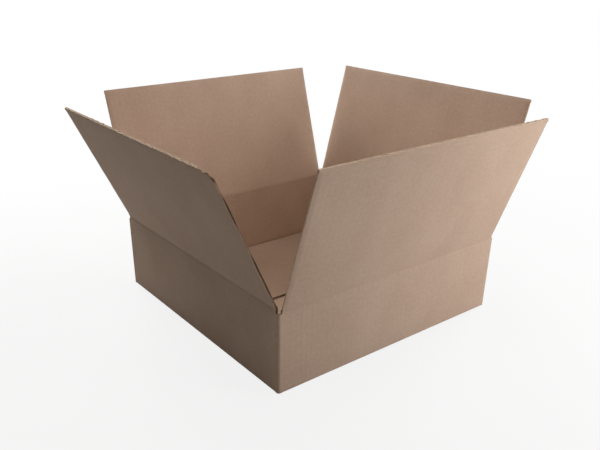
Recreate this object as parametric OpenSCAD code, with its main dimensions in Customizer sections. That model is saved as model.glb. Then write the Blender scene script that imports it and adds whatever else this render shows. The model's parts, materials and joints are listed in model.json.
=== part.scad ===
// Open cardboard box: a regular slotted carton in single-wall corrugated board.
// It is one slotted, scored and folded blank, joined up by a glue tab inside one corner.
// The bottom flaps are folded shut and glued, and the four top flaps stand open on their score lines.
// Origin at the middle of the base, X towards the right wall, Y towards the back wall, Z up.

/* [Board] */
// Thickness of the corrugated board
board_t = 3; // [2:0.25:5]

/* [Inside of the box] */
// Inside width, left wall to right wall
inside_w = 300; // [200:5:450]
// Inside depth, front wall to back wall
inside_d = 300; // [200:5:450]
// Inside height, floor to shut top flaps
inside_h = 80; // [50:5:140]

/* [Folds] */
// Outside radius of the upright corner folds
corner_r = 2.5; // [1:0.25:4]
// Outside radius of the folds at the foot of the walls
foot_r = 1.5; // [0.5:0.25:2]
// Angle to which the board is crushed on each side of a top score line
score_taper = 26; // [18:1:28]
// Radius of the crushed board that turns in a top score line
score_r = 0.6; // [0.4:0.1:0.9]
// Clearance between a wall and its flap in the score line
score_gap = 0.3; // [0.2:0.05:0.5]

/* [Flaps] */
// Gap between the side edge of a flap and the next wall's inside
side_gap = 1.5; // [0.5:0.25:4]
// Gap between two top flaps that meet when they are shut
meet_gap = 1; // [0.5:0.5:8]
// Gap between the two inner flaps that make the floor
floor_gap = 5.5; // [1:0.5:10]
// Gap between the two outer flaps under the floor
base_gap = 0.5; // [0.3:0.1:4]
// Clearance between the inner and the outer top flaps when all are shut
stack_gap = 0.4; // [0.2:0.1:1.5]

/* [How far the top flaps lean out] */
// Lean of the front flap from upright, in degrees
front_lean = 18; // [0:0.5:60]
// Lean of the back flap from upright, in degrees
back_lean = 17; // [0:0.5:60]
// Lean of the left flap from upright, in degrees
left_lean = 24.5; // [0:0.5:60]
// Lean of the right flap from upright, in degrees
right_lean = 15; // [0:0.5:60]

/* [Worn corner of the left flap] */
// Length crushed off the free edge
worn_along = 18; // [2:0.5:30]
// Length crushed off the side edge
worn_down = 12; // [2:0.5:25]

/* [Glue tab] */
// Width of the tab that laps onto the right wall
tab_w = 32; // [20:1:50]
// Distance of the tab from the floor and from the shut flaps, at its fold
tab_inset = 3; // [2:0.5:10]
// Further distance by which its free edge is cut back
tab_cut = 8; // [2:0.5:15]

/* [Hidden] */
$fn = 48;

// Outside size of the walls
outer_w = inside_w + 2 * board_t;
outer_d = inside_d + 2 * board_t;

// Distance of the walls' middle planes, which hold the score lines, from the middle of the box
reach_x = inside_w / 2 + board_t / 2;
reach_y = inside_d / 2 + board_t / 2;

// The inner bottom flaps lie on the outer ones, and the floor is their upper side
floor_z = 2 * board_t;
top_z = floor_z + inside_h;

// The front and back flaps shut first, and the left and right flaps shut over them
inner_score_z = top_z + board_t / 2;
outer_score_z = inner_score_z + board_t + stack_gap;

// Length of the panels and flaps between the slots that part them at the corners
run_x = inside_w - 2 * side_gap;
run_y = inside_d - 2 * side_gap;

// The slots are cut down nearly to the foot of the walls, and up to the level of the shut inner flaps
slot_foot_z = board_t / 4;

// Depth of the top flaps from score line to free edge
flap_x = reach_x - meet_gap / 2;
flap_y = reach_y - meet_gap / 2;

// Length of the crushed taper, and where the wall's own taper is cut short of the flap
score_len = board_t / 2 / tan(score_taper);
score_stop = score_r + score_gap;
score_tip = score_stop * tan(score_taper);

// The worn corner bulges out to this share of its two lengths
worn_bulge_shares = [0.4, 0.3];

// Extra length of cuts, and the depth to which the tab is let into the walls that it joins
overrun = 1;
let_in = board_t / 2;

kraft = [0.70, 0.60, 0.51];

// Rectangle with rounded corners, about the origin
module rounded_rectangle(width, depth, radius) {
  square([width - 2 * radius, depth], center = true);
  square([width, depth - 2 * radius], center = true);
  for (x = [-1, 1], y = [-1, 1])
    translate([x * (width / 2 - radius), y * (depth / 2 - radius)]) circle(radius);
}

// Section through a wall and its bottom flap, outwards from the middle of the box.
// All walls stand on one level, and an inner flap rises at its fold to lie on the outer ones.
module panel_section(inside, flap_z, score_z, gap) {
  outer = inside + board_t;
  middle = inside + board_t / 2;
  shoulder_z = score_z - score_len;
  stop_z = score_z - score_stop;
  translate([inside, foot_r]) square([board_t, shoulder_z - foot_r]);
  polygon([
    [inside, shoulder_z],
    [outer, shoulder_z],
    [middle + score_tip, stop_z],
    [middle - score_tip, stop_z]
  ]);
  translate([inside, 0]) square([board_t - foot_r, board_t]);
  translate([gap / 2, flap_z]) square([middle - gap / 2, board_t]);
  translate([outer - foot_r, foot_r]) circle(foot_r);
}

// One wall with its bottom flap, drawn as the front one and turned to its side of the box
module panel(turn, run, inside, flap_z, score_z, gap) {
  rotate([0, 0, turn])
    rotate([90, 0, -90])
      linear_extrude(height = run, center = true) panel_section(inside, flap_z, score_z, gap);
}

// The four upright corner folds, between the slots above and below
module corner_folds() {
  translate([0, 0, slot_foot_z])
    linear_extrude(height = top_z - slot_foot_z)
      difference() {
        rounded_rectangle(outer_w, outer_d, corner_r);
        square([inside_w, inside_d], center = true);
        square([run_x, outer_d + 2 * overrun], center = true);
        square([outer_w + 2 * overrun, run_y], center = true);
      }
}

// Tab folded from the back wall and glued to the inside of the right wall, with its ends cut back
module glue_tab() {
  root_y = inside_d / 2;
  low_z = floor_z + tab_inset;
  high_z = top_z - tab_inset;
  translate([inside_w / 2 - board_t, 0, 0])
    rotate([90, 0, 90])
      linear_extrude(height = board_t + let_in)
        polygon([
          [root_y + let_in, low_z],
          [root_y + let_in, high_z],
          [root_y, high_z],
          [root_y - tab_w, high_z - tab_cut],
          [root_y - tab_w, low_z + tab_cut],
          [root_y, low_z]
        ]);
}

// Walls and bottom of the box, one folded sheet
module carton() {
  color(kraft) {
    for (turn = [0, 180]) panel(turn, run_x, inside_d / 2, board_t, inner_score_z, floor_gap);
    for (turn = [-90, 90]) panel(turn, run_y, inside_w / 2, 0, outer_score_z, base_gap);
    corner_folds();
    glue_tab();
  }
}

// Section through a top flap, up from its score line
module flap_section(depth) {
  circle(score_r);
  polygon([
    [0, 0],
    [board_t / 2, score_len],
    [board_t / 2, depth],
    [-board_t / 2, depth],
    [-board_t / 2, score_len]
  ]);
}

// One top flap, drawn as the front one and turned to its side of the box
module flap(turn, run, reach, score_z, depth, lean) {
  rotate([0, 0, turn])
    translate([0, -reach, score_z])
      rotate([lean, 0, 0])
        difference() {
          rotate([90, 0, 90]) linear_extrude(height = run, center = true) flap_section(depth);
          children();
        }
}

// What is crushed off the corner of a flap at the end of its free edge
module worn_corner(run, depth) {
  end = run / 2;
  rotate([90, 0, 0])
    linear_extrude(height = board_t + 2 * overrun, center = true)
      polygon([
        [end - worn_along, depth + overrun],
        [end - worn_along, depth],
        [end - worn_along * worn_bulge_shares[0], depth - worn_down * worn_bulge_shares[1]],
        [end, depth - worn_down],
        [end + overrun, depth - worn_down],
        [end + overrun, depth + overrun]
      ]);
}

// Inner top flap on the front wall
module front_flap() {
  color(kraft) flap(0, run_x, reach_y, inner_score_z, flap_y, front_lean);
}

// Inner top flap on the back wall
module back_flap() {
  color(kraft) flap(180, run_x, reach_y, inner_score_z, flap_y, back_lean);
}

// Outer top flap on the left wall, worn at its front corner
module left_flap() {
  color(kraft) flap(-90, run_y, reach_x, outer_score_z, flap_x, left_lean) worn_corner(run_y, flap_x);
}

// Outer top flap on the right wall
module right_flap() {
  color(kraft) flap(90, run_y, reach_x, outer_score_z, flap_x, right_lean);
}

carton();
front_flap();
back_flap();
left_flap();
right_flap();
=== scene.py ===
import json
import math
import random

import bpy
import numpy as np
from mathutils import Euler, Matrix, Vector


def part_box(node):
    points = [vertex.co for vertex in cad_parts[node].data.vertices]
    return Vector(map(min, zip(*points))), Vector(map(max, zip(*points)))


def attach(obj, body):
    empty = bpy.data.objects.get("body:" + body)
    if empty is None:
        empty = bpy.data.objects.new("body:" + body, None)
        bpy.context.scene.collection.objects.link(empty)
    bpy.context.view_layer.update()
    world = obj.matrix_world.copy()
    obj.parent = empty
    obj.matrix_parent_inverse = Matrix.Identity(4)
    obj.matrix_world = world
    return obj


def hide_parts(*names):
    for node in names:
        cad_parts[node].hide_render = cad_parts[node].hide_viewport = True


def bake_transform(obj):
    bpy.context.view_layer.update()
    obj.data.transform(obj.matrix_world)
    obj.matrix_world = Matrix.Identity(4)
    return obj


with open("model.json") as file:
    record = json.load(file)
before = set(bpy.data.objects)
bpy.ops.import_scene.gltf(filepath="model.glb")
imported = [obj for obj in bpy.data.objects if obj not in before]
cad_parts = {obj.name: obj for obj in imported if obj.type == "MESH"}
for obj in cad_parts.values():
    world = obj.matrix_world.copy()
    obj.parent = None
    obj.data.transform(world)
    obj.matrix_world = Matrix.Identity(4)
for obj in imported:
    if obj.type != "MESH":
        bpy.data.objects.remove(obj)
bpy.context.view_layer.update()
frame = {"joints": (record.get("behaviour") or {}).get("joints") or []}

bpy.context.scene.view_settings.view_transform = "Standard"


# Walls and bottom. Four wall panels with their bottom flaps, folded round the corners and shut below, in one
# sheet of three-ply kraft board: two liners, and between them a medium with upright flutes. The left and
# right bottom flaps are outermost. The back wall ends in a tab that is glued inside the right wall.
class Finish:
    """A value in a material. Sums on it add Math nodes, and node() adds any other kind."""

    def __init__(self, tree, socket=None):
        self.tree = tree
        self.socket = socket

    def node(self, kind, settings, sockets, output=0):
        made = self.tree.nodes.new(kind)
        for name, value in settings.items():
            setattr(made, name, value)
        for name, value in sockets.items():
            if isinstance(value, Finish):
                self.tree.links.new(value.socket, made.inputs[name])
            else:
                made.inputs[name].default_value = value
        return Finish(self.tree, made.outputs[output] if made.outputs else None)

    def maths(self, operation, first, second=0.0):
        return self.node("ShaderNodeMath", {"operation": operation}, {0: first, 1: second})

    def __add__(self, other):
        return self.maths("ADD", self, other)

    def __radd__(self, other):
        return self.maths("ADD", other, self)

    def __sub__(self, other):
        return self.maths("SUBTRACT", self, other)

    def __rsub__(self, other):
        return self.maths("SUBTRACT", other, self)

    def __mul__(self, other):
        return self.maths("MULTIPLY", self, other)

    def __rmul__(self, other):
        return self.maths("MULTIPLY", other, self)

    def between(self, low, high):
        """0 below low, 1 above high, and smooth in between."""
        return self.node(
            "ShaderNodeMapRange", {"interpolation_type": "SMOOTHSTEP"}, {0: self, 1: low, 2: high})

    def blend(self, first, second):
        """first where this is 0, second where it is 1."""
        return self.node("ShaderNodeMix", {"data_type": "RGBA"}, {0: self, 6: first, 7: second}, 2)


def paper(name):
    """A material with its shader, and the place on the flat sheet in metres."""
    material = bpy.data.materials.new(name)
    material.use_nodes = True
    tree = material.node_tree
    start = Finish(tree)
    place = start.node("ShaderNodeUVMap", {"uv_map": "sheet"}, {})
    return material, tree.nodes["Principled BSDF"], start, place


def grain(place, along, across, shift, detail=3.0):
    """Noise whose grains are so long along the sheet and so wide across it, in metres."""
    stretched = place.node(
        "ShaderNodeVectorMath", {"operation": "MULTIPLY_ADD"},
        {0: place, 1: (1 / along, 1 / across, 1), 2: (shift, shift, shift)})
    return place.node(
        "ShaderNodeTexNoise", {"noise_dimensions": "2D"},
        {"Vector": stretched, "Scale": 1.0, "Detail": detail})


folds = {joint["child"]: joint for joint in frame["joints"]}
board_t = 2 * (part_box("carton")[1].x - folds["right_flap"]["pos_m"][0])
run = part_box("front_flap")[1].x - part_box("front_flap")[0].x
flutes = 46
pitch = run / flutes

kraft_dark = (0.395, 0.275, 0.200, 1)
kraft_light = (0.535, 0.400, 0.314, 1)
shive_soil_and_shade_brown = (0.20, 0.125, 0.075, 1)
rub_tan = (0.600, 0.470, 0.365, 1)
noise_mean = 0.5
cloud_share, floc_share, fibre_share, streak_share = 0.55, 0.55, 0.65, 0.22
ridge_share, crease_share = 0.025, 0.05
shive_range, rub_range, soil_and_shade_range = (0.745, 0.80), (0.75, 1.35), (0.35, 0.95)
shive_cover, rub_cover, soil_and_shade_cover = 0.42, 0.55, 0.35
liner_rough, floc_rough, fibre_rough, crease_gloss = 0.80, 0.16, 0.14, 0.06
floc_rise, fibre_rise, streak_rise = 0.8, 0.9, 0.3

kraft_liner, shader, start, place = paper("kraft_liner")
cloud = grain(place, along=0.055, across=0.075, shift=3.1, detail=2.0)
floc = grain(place, along=0.0045, across=0.0032, shift=7.7)
fibre = grain(place, along=0.0019, across=0.00028, shift=1.3, detail=2.0)
streak = grain(place, along=0.030, across=0.0011, shift=5.9, detail=2.0)
shive = grain(place, along=0.0014, across=0.00045, shift=9.2, detail=1.0).between(*shive_range)
along_sheet = place.node("ShaderNodeSeparateXYZ", {}, {0: place})
ridge = along_sheet.maths("SINE", along_sheet * (2 * math.pi / pitch) + math.pi / 2)
cut_edge = start.node("ShaderNodeAttribute", {"attribute_name": "cut_edge"}, {}, 2)
crease = start.node("ShaderNodeAttribute", {"attribute_name": "crease"}, {}, 2)
tone = (noise_mean + (cloud - noise_mean) * cloud_share + (floc - noise_mean) * floc_share
        + (fibre - noise_mean) * fibre_share + (streak - noise_mean) * streak_share
        + ridge * ridge_share - crease * crease_share)
colour = tone.blend(kraft_dark, kraft_light)
colour = (shive * shive_cover).blend(colour, shive_soil_and_shade_brown)
colour = ((cut_edge * (floc + fibre)).between(*rub_range) * rub_cover).blend(colour, rub_tan)
# The wear mark paints the liner darker. This is real soil at the left flap's torn front corner and along its
# front edge, and painted shade along the seam between the inner bottom flaps.
worn = start.node("ShaderNodeAttribute", {"attribute_name": "worn"}, {}, 2)
colour = ((worn + floc - noise_mean).between(*soil_and_shade_range) * soil_and_shade_cover).blend(colour, shive_soil_and_shade_brown)
start.tree.links.new(colour.socket, shader.inputs["Base Color"])
rough = (liner_rough + (floc - noise_mean) * floc_rough + (fibre - noise_mean) * fibre_rough
         - crease * crease_gloss)
start.tree.links.new(rough.socket, shader.inputs["Roughness"])
height = floc * floc_rise + fibre * fibre_rise + streak * streak_rise
relief = start.node("ShaderNodeBump", {}, {"Strength": 0.35, "Distance": 0.00012, "Height": height})
start.tree.links.new(relief.socket, shader.inputs["Normal"])
shader.inputs["Specular IOR Level"].default_value = 0.1

cut_pale = (0.56, 0.43, 0.32, 1)
cut_brown = (0.42, 0.30, 0.21, 1)
grime_and_shade = (0.190, 0.115, 0.075, 1)
fluff_share, tear_share = 0.6, 0.4
cut_range, grime_and_shade_range = (0.3, 0.7), (0.25, 0.75)
grime_and_shade_cover = 0.7
kraft_cut, shader, start, place = paper("kraft_cut")
fluff = grain(place, along=0.0011, across=0.0009, shift=2.4)
tear = grain(place, along=0.012, across=0.012, shift=6.1)
colour = (fluff * fluff_share + tear * tear_share).between(*cut_range).blend(cut_brown, cut_pale)
# The wear mark darkens cut edges too. This is real grime at the left flap's torn corner and front edge, and
# painted shade on the cut edges in the seam between the inner bottom flaps.
worn = start.node("ShaderNodeAttribute", {"attribute_name": "worn"}, {}, 2)
colour = ((worn + fluff - noise_mean).between(*grime_and_shade_range) * grime_and_shade_cover).blend(colour, grime_and_shade)
start.tree.links.new(colour.socket, shader.inputs["Base Color"])
relief = start.node("ShaderNodeBump", {}, {"Strength": 0.5, "Distance": 0.00015, "Height": fluff})
start.tree.links.new(relief.socket, shader.inputs["Normal"])
shader.inputs["Roughness"].default_value = 0.92
shader.inputs["Specular IOR Level"].default_value = 0.1

fluting_dark = (0.33, 0.220, 0.150, 1)
fluting_light = (0.45, 0.320, 0.225, 1)
fluting_range = (0.25, 0.75)
fluting_paper, shader, start, place = paper("fluting_paper")
floc = grain(place, along=0.0030, across=0.0040, shift=4.6)
colour = floc.between(*fluting_range).blend(fluting_dark, fluting_light)
start.tree.links.new(colour.socket, shader.inputs["Base Color"])
shader.inputs["Roughness"].default_value = 0.9
shader.inputs["Specular IOR Level"].default_value = 0.1

liner_t = 0.00032
pressed_t = 0.0011
glued_lap = 0.00004
liner_off = (board_t - liner_t) / 2
flute_off = board_t / 2 - 1.5 * liner_t + glued_lap
liner_sag = 0.00005
weld_reach = liner_t / 30
flute_steps = 8
smooth_angle = math.radians(40)
near, hair = 0.0001, 0.00001
papers = [kraft_liner, kraft_cut, fluting_paper, kraft_cut]
liner_slot, fluting_slot = 0, 2


def pick(piece, test):
    """Leaves the piece in edit mode with just the points selected whose x, y and z pass the test."""
    bpy.ops.object.mode_set(mode="EDIT")
    bpy.ops.mesh.select_mode(type="VERT")
    bpy.ops.mesh.select_all(action="DESELECT")
    bpy.ops.object.mode_set(mode="OBJECT")
    piece.data.vertices.foreach_set("select", test(*points(piece)))
    bpy.ops.object.mode_set(mode="EDIT")


def points(piece):
    """The x, y and z of a piece's points."""
    place = np.zeros(3 * len(piece.data.vertices), np.float32)
    piece.data.vertices.foreach_get("co", place)
    return place.reshape(-1, 3).T


def hold(piece, *others):
    """Makes the piece the active one, with just it and the others selected, in object mode."""
    if bpy.context.object and bpy.context.object.mode == "EDIT":
        bpy.ops.object.mode_set(mode="OBJECT")
    bpy.ops.object.select_all(action="DESELECT")
    for one in (piece, *others):
        one.select_set(True)
    bpy.context.view_layer.objects.active = piece


def ply(columns, left, right, out, low, high, slot):
    """One upright sheet of paper in the plane y = -out, facing the front."""
    bpy.ops.object.select_all(action="DESELECT")
    bpy.ops.mesh.primitive_grid_add(
        x_subdivisions=columns, y_subdivisions=1, size=1, rotation=(math.pi / 2, 0, 0),
        location=((left + right) / 2, -out, (low + high) / 2))
    sheet = bpy.context.object
    sheet.scale = (right - left, high - low, 1)
    bpy.ops.object.transform_apply(location=True, rotation=True, scale=True)
    for material in papers:
        sheet.data.materials.append(material)
    sheet.data.polygons.foreach_set("material_index", [slot] * len(sheet.data.polygons))
    return sheet


def column(x, per_flute):
    """The number of the column of points at x, counted from the left."""
    return np.rint((x + run / 2) / pitch * per_flute).astype(int)


def corrugate(sheet):
    """Pushes a flat medium into flutes, crest by crest."""
    for step in range(flute_steps):
        pick(sheet, lambda x, y, z: column(x, flute_steps) % flute_steps == step)
        push = flute_off * math.cos(2 * math.pi * step / flute_steps)
        bpy.ops.transform.translate(value=(0, -push, 0))
    hold(sheet)


def plies(out, low, high):
    """An outer, an inner and a middle ply the width of a panel, the middle one in the plane y = -out."""
    left, right = -run / 2, run / 2
    outer = ply(2 * flutes, left, right, out + liner_off, low, high, liner_slot)
    pick(outer, lambda x, y, z: column(x, 2) % 2 == 1)
    bpy.ops.transform.translate(value=(0, liner_sag, 0))
    hold(outer)
    inner = ply(2 * flutes, left, right, out - liner_off, low, high, liner_slot)
    pick(inner, lambda x, y, z: (column(x, 2) % 2 == 0) & (abs(x) < run / 2 - pitch / 4))
    bpy.ops.transform.translate(value=(0, -liner_sag, 0))
    hold(inner)
    medium = ply(flute_steps * flutes, left, right, out, low, high, fluting_slot)
    corrugate(medium)
    return outer, inner, medium


def glue(first, *others):
    """Makes one piece of several, which takes the first one's place."""
    hold(first, *others)
    bpy.ops.object.join()
    return first


def rows(piece, levels):
    """Cuts level rows across an upright piece."""
    hold(piece)
    for level in levels:
        bpy.ops.object.mode_set(mode="EDIT")
        bpy.ops.mesh.select_all(action="SELECT")
        bpy.ops.mesh.bisect(plane_co=(0, 0, level), plane_no=(0, 0, 1))
    hold(piece)


def lay_out(piece, place_on_sheet):
    """Gives the piece its map of the flat sheet, in metres."""
    if not piece.data.uv_layers:
        piece.data.uv_layers.new(name="sheet")
    piece.data.uv_layers[0].name = "sheet"
    spots = piece.data.uv_layers["sheet"].uv
    for loop in piece.data.loops:
        spots[loop.index].vector = place_on_sheet(piece.data.vertices[loop.vertex_index].co)


def turn_to_side(piece, turn):
    """Turns a piece made at the front round to its own side of the box."""
    hold(piece)
    piece.rotation_euler = (0, 0, turn)
    bpy.ops.object.transform_apply(location=False, rotation=True, scale=False)


def give_thickness(piece, seam):
    """Welds the folded plies, marks their cut edges, apart from the seam, and thickens the paper."""
    hold(piece)
    bpy.ops.object.mode_set(mode="EDIT")
    bpy.ops.mesh.select_all(action="SELECT")
    bpy.ops.mesh.remove_doubles(threshold=weld_reach)
    bpy.ops.mesh.normals_make_consistent(inside=False)
    bpy.ops.mesh.select_all(action="DESELECT")
    bpy.ops.mesh.select_non_manifold(
        extend=False, use_wire=False, use_boundary=True, use_multi_face=False,
        use_non_contiguous=False, use_verts=False)
    bpy.ops.object.mode_set(mode="OBJECT")
    rim = np.zeros(len(piece.data.vertices), bool)
    piece.data.vertices.foreach_get("select", rim)
    cut = piece.data.attributes.new("cut_edge", "FLOAT", "POINT")
    cut.data.foreach_set("value", (rim & ~seam(*points(piece))).astype(np.float32))
    wall = piece.modifiers.new("paper", "SOLIDIFY")
    wall.thickness = liner_t
    if "pressed" in piece.vertex_groups:
        wall.thickness = pressed_t
        wall.vertex_group = "pressed"
        wall.thickness_vertex_group = liner_t / pressed_t
    wall.offset = 0
    wall.use_even_offset = True
    wall.material_offset_rim = 1
    bpy.ops.object.modifier_apply(modifier=wall.name)
    bpy.ops.object.shade_smooth_by_angle(angle=smooth_angle)


wall_out = folds["right_flap"]["pos_m"][0]
inside = wall_out - board_t / 2
inner_fold_z = 2 * board_t
outer_fold_z = board_t
slot_foot_z = board_t / 4
score_reach = 0.003
inner_score_z = folds["front_flap"]["pos_m"][2]
outer_score_z = folds["left_flap"]["pos_m"][2]
slot_top_z = inner_score_z - board_t / 2
tab_low_z = 0.009
tab_high_z = 0.083
tab_w = 0.032
tab_cut = 0.008
fold_steps = 6
fold_t = 0.0018
fold_reach = 0.0042
fold_path = [(0.0009, 0.27, 0.62), (0.0016, 1, 0.68), (0.0012, 1, 0.86), (0.0012, 1, 1)]
edge_steps = [0.0036, 0.0016]
edge_shares = [0.97, 0.90]
inner_seam_gap = 0.0055
outer_seam_gap = 0.0005
levels = [
    slot_foot_z, fold_t, outer_fold_z, inner_fold_z, tab_low_z, tab_high_z, inner_score_z - score_reach,
    slot_top_z]
corner_medium_off = -0.0004
tab_bend = 0.00125
tab_flutes = 5
end_steps = 5


def between_levels(low, high):
    """The levels of the rows that a sheet from low to high needs."""
    return [level for level in levels if low + near < level < high - near]


def press(share, plane, axis="y"):
    """Squeezes what is selected to a share of its thickness, towards a plane."""
    value, centre = ((1, share, 1), (0, plane, 0)) if axis == "y" else ((1, 1, share), (0, 0, plane))
    bpy.ops.transform.resize(value=value, center_override=centre)


def ease(share):
    """0 to 1 with a soft start and a soft end."""
    return share * share * (3 - 2 * share)


def wall_panel(turn, fold_z, score_z, seam_gap):
    """A wall with its bottom flap folded in under it. The score crushes the board where it folds."""
    rise = fold_z - board_t
    axis_y, axis_z = fold_t - board_t - inside, fold_t
    panel = glue(*plies(wall_out, axis_z, score_z - score_reach))
    rows(panel, between_levels(axis_z, score_z - score_reach))
    for level in levels:
        if axis_z - near < level < axis_z + fold_reach:
            pick(panel, lambda x, y, z: abs(z - level) < near)
            share = fold_t / board_t + (1 - fold_t / board_t) * ease((level - axis_z) / fold_reach)
            press(share, -wall_out - liner_off)
    pick(panel, lambda x, y, z: z < axis_z + near)
    bpy.ops.mesh.spin(steps=fold_steps, angle=-math.pi / 2, center=(0, axis_y, axis_z), axis=(1, 0, 0))
    lifted, pressed = 0, fold_t / board_t
    for step, lift, share in fold_path:
        bpy.ops.mesh.extrude_region_move(TRANSFORM_OT_translate={"value": (0, step, lift * rise - lifted)})
        lifted = lift * rise
        press(share / pressed, lifted + liner_t / 2, "z")
        pressed = share
    left_over = -axis_y - sum(step for step, lift, share in fold_path) - seam_gap / 2 - edge_steps[0]
    bpy.ops.mesh.extrude_region_move(TRANSFORM_OT_translate={"value": (0, left_over, 0)})
    for step, after, share in zip(edge_steps, edge_steps[1:] + [0], edge_shares):
        bpy.ops.mesh.extrude_region_move(TRANSFORM_OT_translate={"value": (0, step - after, 0)})
        press(share, rise + board_t / 2, "z")
    hold(panel)
    lay_out(
        panel, lambda co: (co.x + turn / math.pi, co.z - max(0, co.y + inside) if co.z < fold_z else co.z))
    turn_to_side(panel, turn)
    return panel


def corner(turn):
    """The upright fold between two walls, from slot to slot."""
    sheets = []
    for off, slot in ((liner_off, liner_slot), (-liner_off, liner_slot), (corner_medium_off, fluting_slot)):
        sheet = ply(1, -inside, -run / 2, wall_out + off, slot_foot_z, slot_top_z, slot)
        rows(sheet, between_levels(slot_foot_z, slot_top_z))
        pick(sheet, lambda x, y, z: x < -inside + near)
        bpy.ops.mesh.spin(steps=fold_steps, angle=math.pi / 2, center=(-inside, -inside, 0), axis=(0, 0, 1))
        bpy.ops.mesh.extrude_region_move(TRANSFORM_OT_translate={"value": (0, inside - run / 2, 0)})
        hold(sheet)
        sheets.append(sheet)
    made = glue(*sheets)
    lay_out(made, lambda co: (co.x - max(0, co.y + inside) + turn / math.pi, co.z))
    turn_to_side(made, turn)
    return made


def glued_corner():
    """The back wall's fold into its tab, the tab, and the cut end of the right wall over it."""
    face = inside - liner_t / 2
    bend_x = -face + tab_bend
    fold = ply(1, bend_x, -run / 2, wall_out + liner_off, slot_foot_z, slot_top_z, liner_slot)
    rows(fold, between_levels(slot_foot_z, slot_top_z))
    pick(fold, lambda x, y, z: x < bend_x + hair)
    bpy.ops.mesh.spin(
        steps=fold_steps, angle=math.pi / 2, axis=(0, 0, 1),
        center=(bend_x, -wall_out - liner_off + tab_bend, 0))
    hold(fold)
    free = inside - tab_w
    tab_step = tab_w / tab_flutes / flute_steps
    outer = ply(1, free, wall_out + liner_off - tab_bend, face, tab_low_z, tab_high_z, liner_slot)
    inner = ply(1, free, wall_out - liner_off, face - 2 * liner_off, tab_low_z, tab_high_z, liner_slot)
    medium = ply(
        tab_flutes * flute_steps, free, inside, face - liner_off, tab_low_z, tab_high_z, fluting_slot)
    for step in range(flute_steps):
        pick(medium, lambda x, y, z: np.rint((x - free) / tab_step).astype(int) % flute_steps == step)
        bpy.ops.transform.translate(value=(0, -flute_off * math.cos(2 * math.pi * step / flute_steps), 0))
    glue(outer, inner, medium)
    for edge_z, way in ((tab_low_z, -1), (tab_high_z, 1)):
        bpy.ops.object.mode_set(mode="EDIT")
        bpy.ops.mesh.select_all(action="SELECT")
        slant = Vector((-tab_cut, 0, way * tab_w)).normalized()
        bpy.ops.mesh.bisect(plane_co=(inside, 0, edge_z), plane_no=slant, threshold=hair, clear_outer=True)
        hold(outer)
    turn_to_side(outer, -math.pi / 2)
    glue(fold, outer)
    lay_out(fold, lambda co: (co.x - max(0, co.y + inside) + 1, co.z))
    turn_to_side(fold, math.pi)
    end = run / 2 + end_steps * pitch / flute_steps
    outer = ply(1, run / 2, end, wall_out + liner_off, slot_foot_z, slot_top_z, liner_slot)
    inner = ply(1, run / 2, end, wall_out - liner_off, slot_foot_z, slot_top_z, liner_slot)
    medium = ply(end_steps, run / 2, end, wall_out, slot_foot_z, slot_top_z, fluting_slot)
    corrugate(medium)
    glue(outer, inner, medium)
    rows(outer, between_levels(slot_foot_z, slot_top_z))
    lay_out(outer, lambda co: (co.x + 0.5, co.z))
    turn_to_side(outer, math.pi / 2)
    return [fold, outer]


sides = {"front_flap": 0, "right_flap": math.pi / 2, "back_flap": math.pi, "left_flap": -math.pi / 2}
panels = [
    wall_panel(sides["front_flap"], inner_fold_z, inner_score_z, inner_seam_gap),
    wall_panel(sides["back_flap"], inner_fold_z, inner_score_z, inner_seam_gap),
    wall_panel(sides["left_flap"], outer_fold_z, outer_score_z, outer_seam_gap),
    wall_panel(sides["right_flap"], outer_fold_z, outer_score_z, outer_seam_gap),
    corner(0), corner(math.pi / 2), corner(-math.pi / 2), *glued_corner()]
carton_board = glue(*panels)
carton_board.name = "carton_board"
x, y, z = points(carton_board)
# Painted shade: the points in the seam between the two inner bottom flaps are marked, so that the paper
# there is painted darker, standing in for the deep shadow in that seam.
at_seam = (abs(x) < inside) & (abs(y) < inner_seam_gap / 2 + near)
seam_shade = at_seam & (z > outer_fold_z) & (z < inner_fold_z)
worn = carton_board.data.attributes.new("worn", "FLOAT", "POINT")
worn.data.foreach_set("value", seam_shade.astype(np.float32))
give_thickness(
    carton_board,
    lambda x, y, z: (z > slot_top_z + near) | ((x > 0) & (x < inside) & (y > 0) & (z > tab_low_z - near)))
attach(carton_board, "carton")
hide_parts("carton")


# Top flaps. The four panels run on past a score line, where the flutes are crushed so that the board folds,
# and stand open. The knife has pressed their cut edges nearly shut, unevenly. The left flap's front edge has
# opened again in places, and its front corner is torn, crushed and soiled.
score_share = 0.85
score_rows = [-0.0022, -0.0014, -0.0006, 0, 0.0006, 0.0014, 0.0022]
edge_reach = pitch / 2
edge_marks = 16
top_press = (0.48, 0.62)
side_press = {("left_flap", 1): (0.38, 0.48), ("front_flap", -1): (0.22, 0.30)}
sprung_press = (0.80, 0.95)
sprung = {("left_flap", 1): [(0.015, 0.059), (0.100, 0.126), (0.142, 0.151)]}
plain_press = (0.42, 0.62)
rim_weights = (0.3, 1.0)
worn_flap = "left_flap"
torn_outer = [
    (-0.0170, 0), (-0.0130, -0.0022), (-0.0095, -0.0028), (-0.0038, -0.0050), (-0.0018, -0.0084),
    (0, -0.0125)]
torn_medium = [
    (-0.0190, 0), (-0.0145, -0.0030), (-0.0105, -0.0026), (-0.0045, -0.0044), (-0.0020, -0.0066),
    (0, -0.0100)]
torn_inner = [
    (-0.0215, 0), (-0.0172, -0.0048), (-0.0125, -0.0036), (-0.0078, -0.0022), (-0.0056, -0.0052),
    (-0.0030, -0.0050), (0, -0.0064)]
worn_reach = 0.017
worn_top_press = 0.65
crush_bands = [0.022, 0.018, 0.014, 0.010]
crush_share = 0.85
corner_soil = 0.6
soil_core_share = 0.3
edge_soil = 0.6


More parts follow.
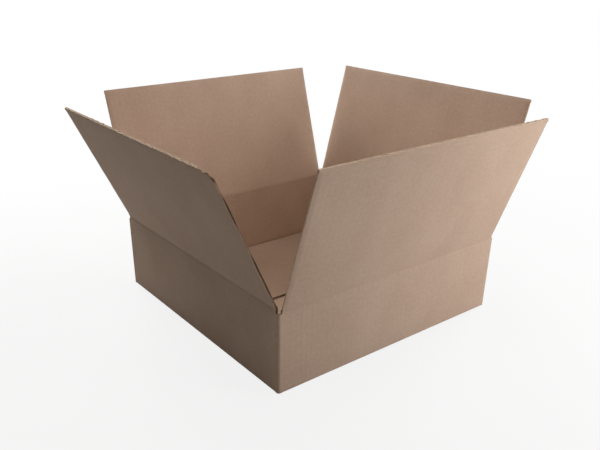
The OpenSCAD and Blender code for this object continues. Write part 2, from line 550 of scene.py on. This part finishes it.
def trim(sheet, corner_line):
    """Tears a corner off a sheet, above a ragged line of points that runs from left to right."""
    hold(sheet)
    for (left, left_z), (right, right_z) in zip(corner_line, corner_line[1:]):
        for side in (left, right):
            pick(sheet, lambda x, y, z: abs(x - side) < pitch)
            bpy.ops.mesh.bisect(plane_co=(side, 0, 0), plane_no=(1, 0, 0))
        pick(sheet, lambda x, y, z: (x > left - hair) & (x < right + hair))
        bpy.ops.mesh.split()
        upwards = Vector((left_z - right_z, 0, right - left)).normalized()
        bpy.ops.mesh.bisect(plane_co=(left, 0, left_z), plane_no=upwards, threshold=hair, clear_outer=True)
    hold(sheet)


def pressed_edge(distance, share):
    """How far the knife's press, which leaves that share at the very edge, still reaches in from it."""
    return 1 - (1 - share) * ease(max(0, 1 - distance / edge_reach))


def top_flap(name, turn, chance):
    """A flap made upright over its wall, with its edges pressed, then leant out over the score line."""
    hinge = Vector(folds[name]["pos_m"])
    lean = math.radians(-90 - folds[name]["range_deg"][0])
    depth = (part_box(name)[1].z - hinge.z - board_t / 2 * math.sin(lean)) / math.cos(lean)
    top = hinge.z + depth
    seam = hinge.z - score_reach
    is_worn = name == worn_flap
    sheets = plies(wall_out, seam, top)
    for sheet, line in zip(sheets, (torn_outer, torn_inner, torn_medium) if is_worn else ()):
        trim(sheet, [(run / 2 + x, top + z) for x, z in line])
    flap = glue(*sheets)
    column_step = pitch / flute_steps
    steps = [step * column_step for step in range(flute_steps // 2)]
    marks = [hinge.z + score_reach + (depth - score_reach - edge_reach) * mark / edge_marks
             for mark in range(edge_marks + 1)]
    rows(flap, [hinge.z + row for row in score_rows] + marks + [top - step for step in steps[1:]])
    lay_out(flap, lambda co: (co.x + turn / math.pi, co.z))
    x, y, z = points(flap)
    crease = flap.data.attributes.new("crease", "FLOAT", "POINT")
    creased = ease(np.clip(1 - abs(z - hinge.z) / score_reach, 0, 1))
    crease.data.foreach_set("value", creased.astype(np.float32))
    worn = flap.data.attributes.new("worn", "FLOAT", "POINT")
    from_corner = np.hypot(x - run / 2, z - top)
    soil = np.clip(1 + soil_core_share - from_corner / worn_reach, 0, 1) * corner_soil
    soil = np.maximum(soil, np.where(x > run / 2 - near, edge_soil, 0))
    worn.data.foreach_set("value", (soil * is_worn).astype(np.float32))
    for row in score_rows:
        pick(flap, lambda x, y, z: abs(z - hinge.z - row) < near)
        press(1 - (1 - score_share) * ease(1 - abs(row) / score_reach), -wall_out)
    for way in (-1, 1):
        for mark in marks:
            share = chance.uniform(*side_press.get((name, way), plain_press))
            if any(low <= mark - hinge.z <= high for low, high in sprung.get((name, way), ())):
                share = chance.uniform(*sprung_press)
            for step in steps:
                pick(flap, lambda x, y, z: (abs(way * x - run / 2 + step) < near) & (abs(z - mark) < near))
                press(pressed_edge(step, share), -wall_out)
    for mark in range(flutes // 2 + 1):
        along = mark * 2 * pitch
        share = chance.uniform(*top_press)
        if is_worn and run - along < worn_reach:
            share = worn_top_press
        for step in steps:
            pick(flap, lambda x, y, z: (abs(z - top + step) < near) & (abs(x + run / 2 - along) < pitch))
            press(pressed_edge(step, share), -wall_out)
    for band in (crush_bands if is_worn else ()):
        pick(flap, lambda x, y, z: np.hypot(x - run / 2, z - top) < band)
        press(crush_share, -wall_out)
    hold(flap)
    x, y, z = points(flap)
    rim = np.flatnonzero((abs(x) > run / 2 - near) | (z > top - near))
    flute_faces = [face for face in flap.data.polygons if face.material_index == fluting_slot]
    fluted = {point for face in flute_faces for point in face.vertices}
    pressed = flap.vertex_groups.new(name="pressed")
    for point in rim.tolist():
        pressed.add([point], rim_weights[point in fluted], "REPLACE")
    flat_z = points(flap)[2].copy()
    for row in score_rows:
        pick(flap, lambda x, y, z: flat_z > hinge.z + row - near)
        bpy.ops.transform.rotate(
            value=-lean / len(score_rows), orient_axis="X", center_override=(0, -wall_out, hinge.z))
    hold(flap)
    turn_to_side(flap, turn)
    flap.name = name + "_board"
    give_thickness(flap, lambda x, y, z: abs(z - seam) < near)
    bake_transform(flap)
    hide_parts(name)


for seed, (name, turn) in enumerate(sides.items()):
    top_flap(name, turn, random.Random(seed))


# Floor. A plain pale table top, matt, and so wide that its edges are out of sight. It keeps the box's soft
# shadow and fades into white around the box.
floor_size = 8.0
floor_drop = 0.0002
floor_glow = 0.84
fade_start, fade_end = 0.35, 0.9
floor_grey = (0.50, 0.50, 0.50, 1)
white = (1, 1, 1, 1)
bpy.ops.object.select_all(action="DESELECT")
bpy.ops.mesh.primitive_plane_add(size=floor_size, location=(0, 0, 0))
floor = bpy.context.object
floor.name = "floor"
bpy.ops.object.mode_set(mode="EDIT")
bpy.ops.transform.translate(value=(0, 0, -floor_drop))
bpy.ops.object.mode_set(mode="OBJECT")
pale = bpy.data.materials.new("pale_floor")
pale.use_nodes = True
pale.node_tree.nodes.clear()
start = Finish(pale.node_tree)
spot = start.node("ShaderNodeTexCoord", {}, {}, "Object")
from_box = start.node("ShaderNodeVectorMath", {"operation": "LENGTH"}, {0: spot}, 1)
seen = start.node("ShaderNodeLightPath", {}, {}, "Is Camera Ray")
seen = seen + start.node("ShaderNodeLightPath", {}, {}, "Is Glossy Ray")
seen = seen + start.node("ShaderNodeLightPath", {}, {}, "Is Transmission Ray")
matt = start.node("ShaderNodeBsdfDiffuse", {}, {"Color": floor_grey})
glow = start.node("ShaderNodeEmission", {}, {"Color": white, "Strength": 1.0})
glowing = floor_glow + from_box.between(fade_start, fade_end) * (1 - floor_glow)
shown = start.node("ShaderNodeMixShader", {}, {0: seen * glowing, 1: matt, 2: glow})
start.node("ShaderNodeOutputMaterial", {}, {"Surface": shown})
floor.data.materials.append(pale)


# Studio. Soft lamps behind the box, to its right and low in front of it, and a slightly warm one above it.
# They stand in a white room that itself gives hardly any light.
aim_point = Vector((0, 0, 0.1))
room_strength = 0.015
warm_white = (1, 0.94, 0.88)
world = bpy.data.worlds.new("white_room")
bpy.context.scene.world = world
world.use_nodes = True
world.node_tree.nodes.clear()
start = Finish(world.node_tree)
seen = start.node("ShaderNodeLightPath", {}, {}, "Is Camera Ray")
seen = seen + start.node("ShaderNodeLightPath", {}, {}, "Is Glossy Ray")
seen = seen + start.node("ShaderNodeLightPath", {}, {}, "Is Transmission Ray")
room = start.node("ShaderNodeBackground", {}, {"Color": white, "Strength": room_strength})
backdrop = start.node("ShaderNodeBackground", {}, {"Color": white, "Strength": 1.0})
shown = start.node("ShaderNodeMixShader", {}, {0: seen, 1: room, 2: backdrop})
start.node("ShaderNodeOutputWorld", {}, {"Surface": shown})


def lamp(name, place, size, power, colour=(1, 1, 1)):
    """A square lamp that faces the middle of the box."""
    bpy.ops.object.light_add(type="AREA", location=place)
    made = bpy.context.object
    made.name = name
    made.data.size = size
    made.data.energy = power
    made.data.color = colour
    made.rotation_euler = (aim_point - Vector(place)).to_track_quat("-Z", "Y").to_euler()


lamp("back_lamp", place=(0.0, 1.10, 0.79), size=0.7, power=20)
lamp("right_lamp", place=(1.10, 0.0, 0.79), size=0.7, power=14)
lamp("top_lamp", place=(-0.48, -0.28, 1.28), size=0.7, power=6.0, colour=warm_white)
lamp("front_lamp", place=(0.31, -0.60, 0.23), size=0.3, power=2.5)


# Camera. It stands in front of the box's left corner and looks down on it. Its lens is shifted a little, to
# place the box in the frame.
camera_data = bpy.data.cameras.new("camera")
camera = bpy.data.objects.new("camera", camera_data)
bpy.context.scene.collection.objects.link(camera)
camera_data.sensor_width = 36
camera_data.lens = 40.58
camera_data.shift_x = 0.0306
camera_data.shift_y = 0.0917
camera.location = (-0.4707, -0.5785, 0.3804)
heading, pitch_down, roll = math.radians(37.055), math.radians(25.96), math.radians(0.191)
aim = Euler((math.pi / 2 - pitch_down, 0, -heading)).to_matrix() @ Matrix.Rotation(roll, 3, "Z")
camera.rotation_euler = aim.to_euler()
bpy.context.scene.camera = camera
